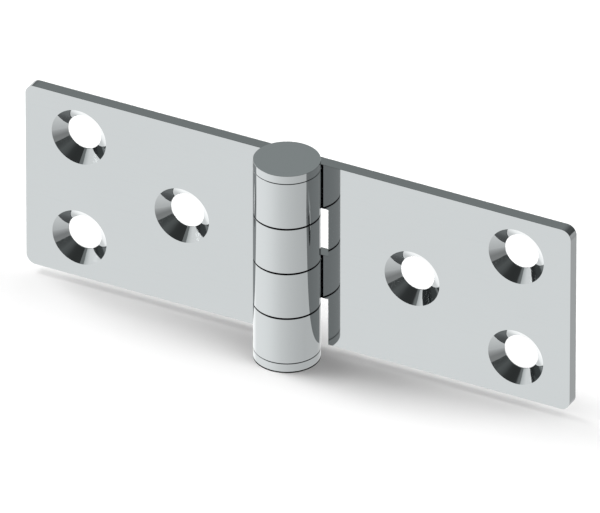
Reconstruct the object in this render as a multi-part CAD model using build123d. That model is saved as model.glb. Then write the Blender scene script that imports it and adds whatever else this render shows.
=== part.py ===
"""A flat leaf hinge of polished sheet steel, open at 180 degrees and standing on its lower end cap.

X runs along the leaves, Y points to the back, which is the side that is screwed down, and Z is the pin's axis.
The origin is on the pin's axis, at the underside of the bottom end cap. All sizes are in millimetres.
"""

from build123d import *
import os
from math import asin, degrees

# The leaf and its roll
leaf_height = 40.0
leaf_reach = 58.75
sheet_thickness = 2.5
bore_diameter = 8.0
corner_radius = 2.0
edge_break = 0.03

# Knuckle rows, counted from the bottom. The left leaf owns row 0.
knuckle_rows = 4
knuckle_play = 0.36
notch_clearance = 0.3
notch_corner_radius = 0.1
roll_end_gap = 0.52

# Countersunk screw holes. Distances are from the pin's axis.
screw_hole_diameter = 7.2
countersink_diameter = 11.8
countersink_angle = 90.0
inner_hole_distance = 24.85
outer_hole_distance = 47.15
outer_hole_pitch = 22.5

# The pin and the end caps
pin_radial_clearance = 0.05
pin_end_play = 0.3
pin_chamfer = 0.5
cap_thickness = 1.85
cap_seam_height = 0.16
cap_seam_depth = 0.6
spigot_length = 5.0
spigot_radial_clearance = 0.01
spigot_chamfer = 0.6

# The rolled knuckle follows from the sheet and the bore: it is the sheet bent around the pin.
bore_radius = bore_diameter / 2
knuckle_radius = bore_radius + sheet_thickness
row_pitch = leaf_height / knuckle_rows
notch_reach = knuckle_radius + notch_clearance
leaf_bottom = cap_thickness


def rolled_sheet():
    """The right leaf's sheet before it is notched and drilled.

    Seen along the pin, the flat run's front face is tangent to the bore and its back face to the knuckle's
    outside. The sheet then turns around the pin and ends just short of its own front face.
    """
    bend_start = 90
    bend_end = 360 + degrees(asin((bore_radius - roll_end_gap) / knuckle_radius))
    with BuildPart() as sheet:
        with BuildSketch():
            with BuildLine():
                outside = CenterArc((0, 0), knuckle_radius, bend_start, bend_end - bend_start)
                inside = CenterArc((0, 0), bore_radius, bend_start, bend_end - bend_start)
                back_corner = (leaf_reach, knuckle_radius)
                front_corner = (leaf_reach, bore_radius)
                Polyline(outside @ 0, back_corner, front_corner, inside @ 0)
                Line(outside @ 1, inside @ 1)
            make_face()
        extrude(amount=leaf_height)
        outer_corners = sheet.edges().filter_by(Axis.Y).group_by(Axis.X)[-1]
        fillet(outer_corners, radius=corner_radius)
    return sheet.part


def notched_sheet():
    """The sheet with a notch in every even row, where the left leaf's knuckles turn."""
    with BuildPart() as sheet:
        add(rolled_sheet())
        for row in range(0, knuckle_rows, 2):
            low = row * row_pitch - knuckle_play / 2
            high = (row + 1) * row_pitch + knuckle_play / 2
            with Locations((0, 0, low)):
                Box(
                    2 * notch_reach,
                    2 * notch_reach,
                    high - low,
                    align=(Align.CENTER, Align.CENTER, Align.MIN),
                    mode=Mode.SUBTRACT,
                )
        notch_corners = sheet.edges().filter_by(Axis.Y).group_by(Axis.X)[0]
        fillet(notch_corners, radius=notch_corner_radius)
    return sheet.part


def screw_hole_places():
    """Planes on the leaf's front face, one to each screw hole, facing the screwdriver."""
    middle = leaf_height / 2
    half_pitch = outer_hole_pitch / 2
    places = [
        (inner_hole_distance, middle),
        (outer_hole_distance, middle + half_pitch),
        (outer_hole_distance, middle - half_pitch),
    ]
    return [Plane(origin=(x, bore_radius, z), z_dir=(0, -1, 0)) for x, z in places]


def sheared_outline(leaf):
    """The edges round the leaf's two broad faces, without the smooth lines where the bend starts."""
    broad_faces = leaf.faces().filter_by(Plane.XZ)
    return broad_faces.edges().filter_by_position(Axis.X, edge_break, leaf_reach)


def right_leaf():
    """One leaf with the knuckles of the odd rows, its lower edge at z = 0.

    The broken edge runs on round the ends of the knuckles, inside and out.
    """
    with BuildPart() as leaf:
        add(notched_sheet())
        chamfer(sheared_outline(leaf.part), length=edge_break)
        with Locations(*screw_hole_places()):
            CounterSinkHole(
                radius=screw_hole_diameter / 2,
                counter_sink_radius=countersink_diameter / 2,
                depth=sheet_thickness,
                counter_sink_angle=countersink_angle,
            )
    return leaf.part


def left_leaf():
    """The same pressing turned end for end, which puts its knuckles in the even rows."""
    turn = Axis((0, 0, leaf_height / 2), (0, 1, 0))
    return right_leaf().rotate(turn, 180)


def hinge_pin():
    """A plain pin that stands on the lower cap's spigot and stops short of the upper one."""
    length = leaf_height - 2 * spigot_length - pin_end_play
    blank = Cylinder(
        bore_radius - pin_radial_clearance, length, align=(Align.CENTER, Align.CENTER, Align.MIN)
    )
    pin = chamfer(blank.edges().filter_by(GeomType.CIRCLE), length=pin_chamfer)
    return Pos(0, 0, spigot_length) * pin


def end_cap():
    """A disc as wide as the knuckle, with its seat at z = 0 and its spigot hanging below.

    The disc is relieved outside the seat, which leaves the narrow dark seam between it and the knuckle.
    """
    disc_height = cap_thickness - cap_seam_height
    disc = Cylinder(knuckle_radius, disc_height, align=(Align.CENTER, Align.CENTER, Align.MIN))
    disc = Pos(0, 0, cap_seam_height) * chamfer(disc.edges().filter_by(GeomType.CIRCLE), length=edge_break)
    seat = Cylinder(
        knuckle_radius - cap_seam_depth, cap_seam_height, align=(Align.CENTER, Align.CENTER, Align.MIN)
    )
    spigot = Cylinder(
        bore_radius - spigot_radial_clearance, spigot_length, align=(Align.CENTER, Align.CENTER, Align.MAX)
    )
    tip = spigot.edges().filter_by(GeomType.CIRCLE).sort_by(Axis.Z)[0]
    return disc + seat + chamfer(tip, length=spigot_chamfer)


def export_nodes():
    """Write each piece where it stands in the assembled hinge."""
    os.makedirs("parts", exist_ok=True)
    nodes = {
        "left_leaf": left_leaf(),
        "right_leaf": right_leaf(),
        "hinge_pin": hinge_pin(),
        "top_end_cap": Pos(0, 0, leaf_height) * end_cap(),
        "bottom_end_cap": end_cap().rotate(Axis.X, 180),
    }
    for name, shape in nodes.items():
        placed = Pos(0, 0, leaf_bottom) * shape
        placed.label = name
        export_step(placed, f"parts/{name}.step")


export_nodes()
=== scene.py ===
# %% [markdown]
# # A polished leaf hinge
#
# The hinge comes in as five finished solids: two leaves, the pin and two end caps. Their shapes are right, so
# this lesson leaves every mesh alone. It teaches three other things: how a mirror finish is built from nodes,
# how the surroundings of a mirror are drawn, and how a long lens shows a small object almost without
# perspective.

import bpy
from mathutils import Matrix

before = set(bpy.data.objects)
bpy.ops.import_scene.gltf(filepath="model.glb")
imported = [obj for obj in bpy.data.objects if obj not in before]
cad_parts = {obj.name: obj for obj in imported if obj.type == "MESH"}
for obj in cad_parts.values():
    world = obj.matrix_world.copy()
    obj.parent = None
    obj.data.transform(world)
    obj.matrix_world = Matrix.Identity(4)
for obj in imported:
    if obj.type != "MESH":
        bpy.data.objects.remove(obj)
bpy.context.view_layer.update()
print("solids:", sorted(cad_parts))

# %% [markdown]
# ## Adding nodes
#
# Everything below is made of shader nodes, so short functions stand in for the wiring. The first adds any
# node. The others are sums that come back often, and each returns the socket that holds its result. More of
# them follow where they are first needed.

# %% Modules and the first node helpers
from math import cos, pi, radians, sin

import bpy
from mathutils import Vector

scene = bpy.context.scene


def add_node(tree, kind, settings=None, **inputs):
    """Adds a node, sets its properties, then fills or links its inputs.

    i0, i1 and so on are inputs by their place. Any other name is the input's own, with _ for a space.
    """
    node = tree.nodes.new("ShaderNode" + kind)
    for name, value in (settings or {}).items():
        setattr(node, name, value)
    for name, value in inputs.items():
        key = int(name[1:]) if name[0] == "i" and name[1:].isdigit() else name.replace("_", " ")
        socket = node.inputs[key]
        if isinstance(value, bpy.types.NodeSocket):
            tree.links.new(value, socket)
        else:
            socket.default_value = value
    return node


def maths(tree, operation, a, b=0.0, c=0.0):
    """One Math node."""
    return add_node(tree, "Math", {"operation": operation}, i0=a, i1=b, i2=c).outputs[0]


def split(tree, vector):
    """A vector's numbers, as the outputs X, Y and Z."""
    return add_node(tree, "SeparateXYZ", Vector=vector).outputs


def length(tree, vector):
    """The vector's length."""
    return add_node(tree, "VectorMath", {"operation": "LENGTH"}, i0=vector).outputs["Value"]


print("node helpers ready")

# %% [markdown]
# ## Where the shear and the drill have been
#
# Polishing reaches the broad faces. The sheared edges stay a little duller, and each countersink is cut after
# the polishing, so that it shows the drill's fine rings. Both are also darker in tone, and that darker tone
# is painted shade. Two masks find these places from the piece's own coordinates. An edge never faces the
# front or
# the back: it faces up or down, or it lies near the leaf's far end. A countersink lies within its radius of a
# screw hole's axis. The hole pattern is symmetrical, so folding space at the pin and at mid-height leaves
# only two hole axes.

# %% A mask for the sheared edges
far_end = 0.05
faces_front, faces_up = 0.3, 0.5


def cut_edges(tree, place):
    """1 on the leaf's sheared edges and knuckle ends, 0 elsewhere."""
    normal = split(tree, add_node(tree, "TexCoord").outputs["Normal"])
    not_front = maths(tree, "LESS_THAN", maths(tree, "ABSOLUTE", normal["Y"]), faces_front)
    level = maths(tree, "GREATER_THAN", maths(tree, "ABSOLUTE", normal["Z"]), faces_up)
    at_end = maths(tree, "GREATER_THAN", maths(tree, "ABSOLUTE", split(tree, place)["X"]), far_end)
    return maths(tree, "MULTIPLY", not_front, maths(tree, "MAXIMUM", level, at_end))


print("the far end begins", far_end * 1000, "mm from the pin's axis")

# %% A mask for the countersinks
mid_height = 0.02185
hole_axes = [(0.02485, 0.0), (0.04715, 0.01125)]
countersink_radius = 0.0059
leaf_back, back_skin = 0.0065, 0.00005


def hole_distance(tree, place):
    """Distance from the nearer of the two hole axes."""
    xyz = split(tree, place)
    across = maths(tree, "ABSOLUTE", xyz["X"])
    upward = maths(tree, "ABSOLUTE", maths(tree, "SUBTRACT", xyz["Z"], mid_height))
    distances = []
    for hole_x, hole_z in hole_axes:
        x = maths(tree, "SUBTRACT", across, hole_x)
        z = maths(tree, "SUBTRACT", upward, hole_z)
        distances.append(length(tree, add_node(tree, "CombineXYZ", X=x, Y=z).outputs["Vector"]))
    return maths(tree, "MINIMUM", *distances)


def countersinks(tree, place):
    """1 inside a screw hole and its countersink, 0 on the leaf's faces."""
    before_back = maths(tree, "LESS_THAN", split(tree, place)["Y"], leaf_back - back_skin)
    near_hole = maths(tree, "LESS_THAN", hole_distance(tree, place), countersink_radius)
    return maths(tree, "MULTIPLY", near_hole, before_back)


print("hole axes, folded, in mm:", [(x * 1000, z * 1000) for x, z in hole_axes])

# %% [markdown]
# ## The polish
#
# The leaves are cold-rolled stainless sheet, rolled at one end, then polished until they mirror the room.
# Such a face is still not perfect: the buffing wheel leaves hair-fine lines along its path, the sheet is a
# little wavy, and handling dulls it in places. A plain metallic shader would be flat, so the lines and the
# waves go into the roughness and the bump, and only a trace of tone into the colour. Steel also brightens
# less at a glancing angle than the shader's default metal, which the specular tint says.
#
# A pattern of lines is a noise with its space squeezed: on the leaves along X, which is the polishing
# direction, and on the turned caps into rings around the pin. Its scale is in repeats to the metre.

# %% Helpers for a finish
def new_tree(material_name):
    """An empty node material with its output, as (material, tree, output)."""
    material = bpy.data.materials.new(material_name)
    material.use_nodes = True
    material.node_tree.nodes.clear()
    output = material.node_tree.nodes.new("ShaderNodeOutputMaterial")
    return material, material.node_tree, output


def mix(tree, factor, a, b):
    """The number a where factor is 0, b where it is 1."""
    return add_node(tree, "Mix", {"data_type": "FLOAT"}, i0=factor, i2=a, i3=b).outputs[0]


def smooth_step(tree, value, low, high):
    """0 at low, 1 at high, and a smooth rise between them."""
    smooth = {"interpolation_type": "SMOOTHSTEP"}
    node = add_node(
        tree, "MapRange", smooth, Value=value, From_Min=low, From_Max=high, To_Min=0.0, To_Max=1.0
    )
    return node.outputs["Result"]


def scaled(tree, vector, factor):
    """The vector times one number."""
    return add_node(tree, "VectorMath", {"operation": "SCALE"}, i0=vector, Scale=factor).outputs["Vector"]


def stretched(tree, vector, factors):
    """The vector times another number along each axis."""
    return add_node(tree, "VectorMath", {"operation": "MULTIPLY"}, i0=vector, i1=factors).outputs["Vector"]


print("finish helpers ready")

# %% How strong each mark is
line_scale, line_stretch = 2500.0, 90.0
wave_scale, smear_scale, ring_scale = 55.0, 160.0, 9000.0
hairline_range, wear_range = (0.52, 0.74), (0.5, 0.8)
line_roughness, wear_roughness, sheared_roughness = 0.035, 0.02, 0.05
# The sheared and drilled tones darken the sheared edges and the countersinks: painted shade.
wave_tone, line_tone, sheared_edge_painted_shade, countersink_painted_shade = 0.025, 0.012, 0.78, 0.94
wave_depth, wave_bump = 0.00002, 0.05
line_depth, line_bump = 0.000002, 0.06
glancing_tint = (0.86, 0.86, 0.86, 1.0)
print("a line about every", 1000 / line_scale, "mm, a wave about every", round(1000 / wave_scale), "mm")


# %% The two polishing patterns
def lines_along_leaf(tree, place):
    """Long streaks along X."""
    return stretched(tree, place, (line_stretch, line_scale, line_scale))


def rings_round_pin(tree, place):
    """Fine rings round the pin's axis: the noise depends on radius and height only."""
    radius = length(tree, stretched(tree, place, (1.0, 1.0, 0.0)))
    rings = add_node(tree, "CombineXYZ", X=radius, Y=split(tree, place)["Z"]).outputs["Vector"]
    return scaled(tree, rings, line_scale)


print("along a leaf the streaks are", round(line_scale / line_stretch), "times as long as wide")


# %% Steel with a polishing pattern
def polished_steel(name, tint, pattern, roughness, line_strength=1.0, cuts=False):
    """Polished metal. With cuts, its sheared edges and countersinks are duller, and their darker tone is
    painted shade.
    """
    material, tree, output = new_tree(name)
    place = add_node(tree, "TexCoord").outputs["Object"]
    lines = add_node(tree, "TexNoise", Vector=pattern(tree, place), Scale=1.0, Detail=4.0, Roughness=0.6)
    waves = add_node(tree, "TexNoise", Vector=place, Scale=wave_scale, Detail=2.0, Roughness=0.45)
    smears = add_node(tree, "TexNoise", Vector=place, Scale=smear_scale, Detail=5.0, Roughness=0.6)

    hairline = smooth_step(tree, lines.outputs["Fac"], *hairline_range)
    wear = smooth_step(tree, smears.outputs["Fac"], *wear_range)
    rough = maths(tree, "MULTIPLY_ADD", hairline, line_roughness * line_strength, roughness)
    rough = maths(tree, "MULTIPLY_ADD", wear, wear_roughness, rough)
    tone = maths(tree, "MULTIPLY_ADD", waves.outputs["Fac"], wave_tone, 1.0 - wave_tone / 2)
    tone = maths(tree, "MULTIPLY_ADD", hairline, -line_tone * line_strength, tone)
    height = lines.outputs["Fac"]
    if cuts:
        sheared, drilled = cut_edges(tree, place), countersinks(tree, place)
        rough = maths(tree, "MULTIPLY_ADD", sheared, sheared_roughness, rough)
        # The darker colour of the sheared edges and of the countersinks is painted shade.
        tone = maths(tree, "MULTIPLY", tone, mix(tree, sheared, 1.0, sheared_edge_painted_shade))
        tone = maths(tree, "MULTIPLY", tone, mix(tree, drilled, 1.0, countersink_painted_shade))
        from_axis = hole_distance(tree, place)
        rings = add_node(
            tree, "TexNoise", {"noise_dimensions": "1D"}, W=from_axis, Scale=ring_scale, Detail=1.0
        )
        height = mix(tree, drilled, height, rings.outputs["Fac"])

    wavy = add_node(tree, "Bump", Strength=wave_bump, Distance=wave_depth, Height=waves.outputs["Fac"])
    lined = add_node(
        tree, "Bump", Strength=line_bump * line_strength, Distance=line_depth, Height=height,
        Normal=wavy.outputs["Normal"],
    )
    shader = add_node(
        tree, "BsdfPrincipled", Base_Color=scaled(tree, tint, tone), Metallic=1.0, Roughness=rough,
        Specular_Tint=glancing_tint, Normal=lined.outputs["Normal"],
    )
    tree.links.new(shader.outputs["BSDF"], output.inputs["Surface"])
    print(name, "has", len(tree.nodes), "nodes")
    return material


# %% A finish for each piece
sheet_tint, pin_tint = (0.625, 0.655, 0.662), (0.56, 0.56, 0.555)
buffed, ground = 0.035, 0.16
leaf_finish = polished_steel("buffed_stainless_sheet", sheet_tint, lines_along_leaf, buffed, cuts=True)
cap_finish = polished_steel("faced_stainless_cap", sheet_tint, rings_round_pin, buffed)
pin_finish = polished_steel("ground_steel_pin", pin_tint, rings_round_pin, ground, line_strength=1.6)

finishes = {
    "left_leaf": leaf_finish,
    "right_leaf": leaf_finish,
    "top_end_cap": cap_finish,
    "bottom_end_cap": cap_finish,
    "hinge_pin": pin_finish,
}
for node_name, finish in finishes.items():
    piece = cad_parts[node_name]
    piece.data.materials.clear()
    piece.data.materials.append(finish)
print("finishes:", {name: finish.name for name, finish in finishes.items()})

# %% [markdown]
# ## The surroundings of a mirror
#
# A mirror has no look of its own: all that is seen on it is the studio. This one is drawn in the world shader
# as a function of direction alone, so it stays in place when the camera moves. Each ray is turned into an
# azimuth, which is 0 at the front and 90 at the right, and an elevation above the horizon, both in degrees,
# as on a map of the sky. The ray also tells how many mirrors it has met.

# %% Rays as azimuth and elevation
world = bpy.data.worlds.new("studio")
scene.world = world
world.use_nodes = True
room = world.node_tree
room.nodes.clear()

ray = split(room, add_node(room, "TexCoord").outputs["Generated"])
frontward = maths(room, "MULTIPLY", ray["Y"], -1.0)
azimuth = maths(room, "MULTIPLY", maths(room, "ARCTAN2", ray["X"], frontward), 180 / pi)
elevation = maths(room, "MULTIPLY", maths(room, "ARCSINE", ray["Z"]), 180 / pi)

light_path = add_node(room, "LightPath").outputs
first_mirror = maths(room, "LESS_THAN", light_path["Glossy Depth"], 1.5)
print("nodes that tell a ray's way:", len(room.nodes))

# %% [markdown]
# ## The mirrored floor
#
# Below the horizon lies the pale floor. Its brightness is one curve round the compass, brightest at the back
# left and darkest at the right, times one curve downward, which darkens towards the horizon. Steel that is
# seen from low down mirrors the far floor, and there the floor stays pale, except at the right front. A
# second reflection, as in a countersink, finds it dark from the front to the right, where the opposite wall
# would hide it. Straight below the hinge it is even again.
#
# A curve is written as its stops, each one an angle in degrees and the brightness there.

# %% A curve through stops
def curve(tree, value, stops):
    """Straight lines through the (value, result) stops, which a colour ramp draws between 0 and 1."""
    low, high = stops[0][0], stops[-1][0]
    place = add_node(tree, "MapRange", Value=value, From_Min=low, From_Max=high, To_Min=0.0, To_Max=1.0)
    node = add_node(tree, "ValToRGB", Fac=place.outputs["Result"])
    elements = node.color_ramp.elements
    while len(elements) < len(stops):
        elements.new(0.5)
    for element, (position, result) in zip(elements, stops):
        element.position = (position - low) / (high - low)
        element.color = (result, result, result, 1.0)
    return node.outputs["Color"]


print("curve helper ready")

# %% The floor as the steel sees it
far_range, far_floor = (-31.0, -14.0), 0.92
below_range, floor_below = (-48.0, -80.0), 0.90

floor_round = curve(room, azimuth, [
    (-180, 0.80), (-160, 1.00), (-143, 1.28), (-130, 1.46), (-116, 1.40), (-100, 1.12), (-54, 1.06),
    (-28, 0.99), (7, 0.83), (34, 0.74), (61, 0.68), (91, 0.64), (152, 0.66), (180, 0.80),
])
floor_down = curve(room, elevation, [
    (-90, 1.00), (-60, 1.16), (-50, 1.14), (-42, 1.07), (-34, 1.00), (-31, 1.00), (-26, 0.80),
    (-18, 0.60), (-10, 0.44), (5, 0.46), (90, 0.46),
])
pale_at_once = curve(room, azimuth, [(-180, 1), (24, 1), (46, 0), (80, 0), (105, 1), (180, 1)])
pale_later = curve(room, azimuth, [(-180, 1), (-45, 1), (-15, 0), (80, 0), (105, 1), (180, 1)])
pale_round = mix(room, first_mirror, pale_later, pale_at_once)
far_and_pale = maths(room, "MULTIPLY", smooth_step(room, elevation, *far_range), pale_round)
floor_down = mix(room, far_and_pale, floor_down, far_floor)
floor_seen = maths(room, "MULTIPLY", floor_round, floor_down)
floor_seen = mix(room, smooth_step(room, elevation, *below_range), floor_seen, floor_below)
print("with the floor:", len(room.nodes))

# %% [markdown]
# ## Ceiling, wall and softbox
#
# Above the horizon are a dark ceiling with a soft light overhead, a grey wall at the back left and one tall
# softbox at the left, whose light spills a little to its right. What isn't the softbox is a little cool.

# %% The room above the horizon
softbox_top, horizon = (51.0, 46.0), (4.6, 5.4)

ceiling = curve(room, elevation, [
    (0, 0.08), (14, 0.08), (22, 0.10), (29, 0.13), (36, 0.12), (42, 0.09), (47, 0.055), (52, 0.045),
    (57, 0.045), (64, 0.16), (76, 0.30), (90, 0.34),
])
wall_round = curve(room, azimuth, [
    (-180, 0.8), (-165, 1.0), (-150, 1.0), (-115, 0.3), (-100, 0.0), (140, 0.0), (180, 0.8),
])
wall_up = curve(room, elevation, [(0, 0.26), (20, 0.32), (31, 0.345), (45, 0.25), (60, 0.0)])
overhead = maths(room, "MAXIMUM", ceiling, maths(room, "MULTIPLY", wall_round, wall_up))

softbox_round = curve(room, azimuth, [
    (-126, 0.0), (-125, 0.7), (-105, 1.0), (-66, 1.0), (-52, 0.65), (-51, 0.24), (-30, 0.22), (-15, 0.0),
])
softbox = maths(room, "MULTIPLY", softbox_round, smooth_step(room, elevation, *softbox_top))
overhead = maths(room, "MAXIMUM", overhead, softbox)

above_horizon = smooth_step(room, elevation, *horizon)
studio = mix(room, above_horizon, floor_seen, overhead)
cool = maths(room, "MULTIPLY", above_horizon, maths(room, "SUBTRACT", 1.0, softbox))
print("with the room:", len(room.nodes))

# %% [markdown]
# ## What each ray meets
#
# Light Path tells the rays apart. Mirror rays see the studio, dimmer after a second reflection, because steel
# loses some light each time and little of the room reaches the inside of a countersink. Camera rays see plain
# white. The rays that light the floor see lamps beyond the two ends of the hinge, a low one and a high one at
# each end, stronger at the left, and fainter light from behind and all round. That makes the shadow gather in
# front of the leaves and round the barrel. A ray that left the floor and meets steel brings nothing back, so
# that the steel doesn't lighten its own shadow.

# %% The studio in colour
second_mirror_share = 0.5
white, cool_white = (1.0, 1.0, 1.0, 1.0), (0.94, 1.0, 1.0, 1.0)


def mix_colours(tree, factor, a, b):
    """The colour a where factor is 0, b where it is 1."""
    return add_node(tree, "Mix", {"data_type": "RGBA"}, i0=factor, i6=a, i7=b).outputs[2]


from_eye = maths(room, "LESS_THAN", light_path["Diffuse Depth"], 0.5)
studio = maths(room, "MULTIPLY", studio, mix(room, first_mirror, second_mirror_share, 1.0))
studio = maths(room, "MULTIPLY", studio, from_eye)
studio_colour = scaled(room, mix_colours(room, cool, white, cool_white), studio)
print("with its colour:", len(room.nodes))

# %% Lamps that light the floor
behind_range, behind_glow, all_round_glow = (130.0, 170.0), 0.45, 0.08


def end_lamps(centre, half_width, low, middle, high):
    """Lamps beyond one end, by their glow at 12, 25 and 60 degrees up.

    They are brightest at the azimuth centre and fade out half_width to each side of it.
    """
    glow = [(-1, 0.0), (12, low), (25, middle), (38, 0.0), (47, 0.0), (60, high), (73, 0.0)]
    aside = maths(room, "ABSOLUTE", maths(room, "SUBTRACT", azimuth, centre))
    spread = smooth_step(room, aside, half_width, half_width / 10)
    return maths(room, "MULTIPLY", spread, curve(room, elevation, glow))


left_lamps = end_lamps(centre=-88.0, half_width=45.0, low=34.6, middle=0.0, high=8.3)
right_lamps = end_lamps(centre=92.0, half_width=60.0, low=19.4, middle=2.1, high=2.75)
behind = smooth_step(room, maths(room, "ABSOLUTE", azimuth), *behind_range)
high_up = curve(room, elevation, [(20, 0.0), (40, behind_glow), (60, behind_glow), (80, 0.0)])
lamp_light = maths(room, "MULTIPLY_ADD", behind, high_up, all_round_glow)
lamp_light = maths(room, "ADD", lamp_light, maths(room, "ADD", left_lamps, right_lamps))
not_off_steel = maths(room, "MAXIMUM", from_eye, light_path["Is Diffuse Ray"])
lamp_light = maths(room, "MULTIPLY", lamp_light, not_off_steel)
print("with the lamps:", len(room.nodes))

# %% Each ray gets its own
lit = mix_colours(room, light_path["Is Glossy Ray"], lamp_light, studio_colour)
plain = maths(room, "MAXIMUM", light_path["Is Camera Ray"], light_path["Is Transmission Ray"])
background = add_node(room, "Background", Color=mix_colours(room, plain, lit, white), Strength=1.0)
sky = room.nodes.new("ShaderNodeOutputWorld")
room.links.new(background.outputs["Background"], sky.inputs["Surface"])
print("whole studio:", len(room.nodes), "nodes")

# %% [markdown]
# ## The floor
#
# The floor is a plain matt sheet. It catches the soft shadow, and away from the hinge it is just white. Close
# to the steel the shadow is deepest at the back and at the right, where the light from the front left is cut
# off. There it is painted shade: each spot looks about itself in that direction, with an ambient occlusion
# node that leans that way, and its colour darkens as the steel closes in. Hardly any light comes in under the
# real cap, so its foot is ringed by a dark hairline. Here the floor lies a crack below the cap and is painted
# black right under it, a painted shadow which shows the same line from every side. Mirror rays pass the floor
# by and see the studio's own.

# %% The sheet on the ground
floor_size, crack = 3.0, 0.00027

half = floor_size / 2
corners = [(x, y, -crack) for x, y in ((-half, -half), (half, -half), (half, half), (-half, half))]
floor_mesh = bpy.data.meshes.new("floor")
floor_mesh.from_pydata(corners, [], [(0, 1, 2, 3)])
floor = bpy.data.objects.new("floor", floor_mesh)
scene.collection.objects.link(floor)
floor.visible_glossy = False
print("floor:", floor_size, "m square,", crack * 1000, "mm below the cap")

# %% Its paint, with painted shade near the steel and a painted shadow under the cap
# The nearly black colour under the cap is a painted shadow, and the contact numbers set the painted shade
# near the steel.
foot_radius, painted_foot_shadow = 0.0065, 0.01
paper, paper_to_the_eye = 0.8, 1.0
painted_shade_reach, darkest_painted_shade = 0.009, 0.5
front_left = {"X": -0.7, "Y": -0.7, "Z": 0.1}

paint, paint_tree, paint_output = new_tree("pale_floor")
floor_place = add_node(paint_tree, "TexCoord").outputs["Object"]
from_pin = length(paint_tree, stretched(paint_tree, floor_place, (1.0, 1.0, 0.0)))
under_cap = maths(paint_tree, "LESS_THAN", from_pin, foot_radius)
lean = add_node(paint_tree, "CombineXYZ", **front_left).outputs["Vector"]
looks_about = add_node(paint_tree, "AmbientOcclusion", {"samples": 16}, Distance=painted_shade_reach, Normal=lean)
# The ambient occlusion darkens the floor's colour near the steel: painted shade.
painted_contact_shade = mix(paint_tree, looks_about.outputs["AO"], darkest_painted_shade, 1.0)
seen_directly = add_node(paint_tree, "LightPath").outputs["Is Camera Ray"]
paper_and_painted_shade = maths(paint_tree, "MULTIPLY", painted_contact_shade, mix(paint_tree, seen_directly, paper, paper_to_the_eye))
# Right under the cap the floor's colour is nearly black: a painted shadow.
matt = add_node(paint_tree, "BsdfDiffuse", Color=mix(paint_tree, under_cap, paper_and_painted_shade, painted_foot_shadow))
paint_tree.links.new(matt.outputs["BSDF"], paint_output.inputs["Surface"])
floor_mesh.materials.append(paint)
print("the shadow deepens within", painted_shade_reach * 1000, "mm of the steel")

# %% [markdown]
# ## The camera
#
# The picture is a parallel projection. A 1400 mm lens far from the hinge gives nearly the same look, and it
# still frames the whole hinge from any other side.

# %% The camera
view_azimuth, view_elevation = 27.6802, 31.4782
camera_distance = 4.46153
aim = Vector((0.7394, 3.9767, 19.9589)) / 1000


def direction(round_angle, up_angle):
    """A unit vector. The first angle is 0 at the front (-Y) and 90 at the right (+X), both are in degrees."""
    a, e = radians(round_angle), radians(up_angle)
    return Vector((sin(a) * cos(e), -cos(a) * cos(e), sin(e)))


camera_data = bpy.data.cameras.new("camera")
camera_data.lens = 1400.0
camera_data.sensor_width = 36.0
camera_data.clip_start, camera_data.clip_end = 0.1, 20.0
camera = bpy.data.objects.new("camera", camera_data)
scene.collection.objects.link(camera)
toward_camera = direction(view_azimuth, view_elevation)
camera.location = aim + toward_camera * camera_distance
camera.rotation_mode = "QUATERNION"
camera.rotation_quaternion = (-toward_camera).to_track_quat("-Z", "Y")
scene.camera = camera
scene.view_settings.view_transform = "Standard"
print("camera at", [round(value, 4) for value in camera.location])
